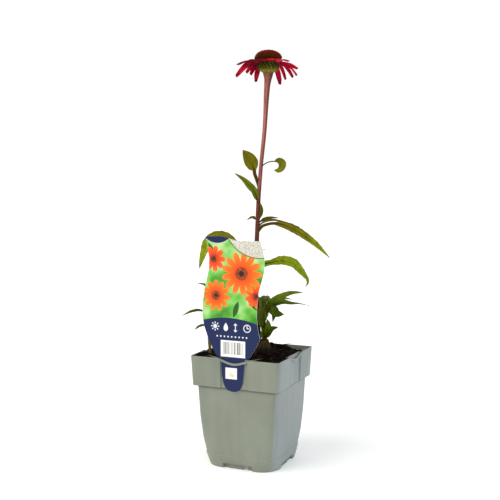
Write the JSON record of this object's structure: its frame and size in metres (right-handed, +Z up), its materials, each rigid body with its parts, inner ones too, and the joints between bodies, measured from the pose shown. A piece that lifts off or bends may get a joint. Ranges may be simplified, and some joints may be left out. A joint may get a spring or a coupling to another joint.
{
  "type": "potted coneflower",
  "caption": "Coneflower with a drooping-rayed flower head on a tall leafy stem and low side shoots, in a square nursery pot of soil with an upright plant label.",
  "frame": {"origin": "centre of the pot's underside, on the plane that it stands on", "axes": "+Z up; -Y is the pot's label side; +X is to the right as that side is faced"},
  "size_m": [0.1658, 0.1236, 0.4873],
  "materials": {
    "pot": "matte",
    "soil": "crumbly",
    "label": "gloss",
    "crown": "fibrous",
    "stem": "satin",
    "cup": "satin",
    "rays": "velvety",
    "cone": "satin",
    "leaf": "satin"
  },
  "bodies": {
    "root": {"pot": "pot", "soil": "soil", "plant_label": "label", "crown": "crown", "flower_stem": "stem", "flower_cup": "cup", "flower_rays": "rays", "flower_cone": "cone", "right_shoot": "leaf", "left_shoot": "leaf", "basal_leaf_1": "leaf", "basal_leaf_2": "leaf", "basal_leaf_3": "leaf", "basal_leaf_4": "leaf"}
  },
  "joints": []
}
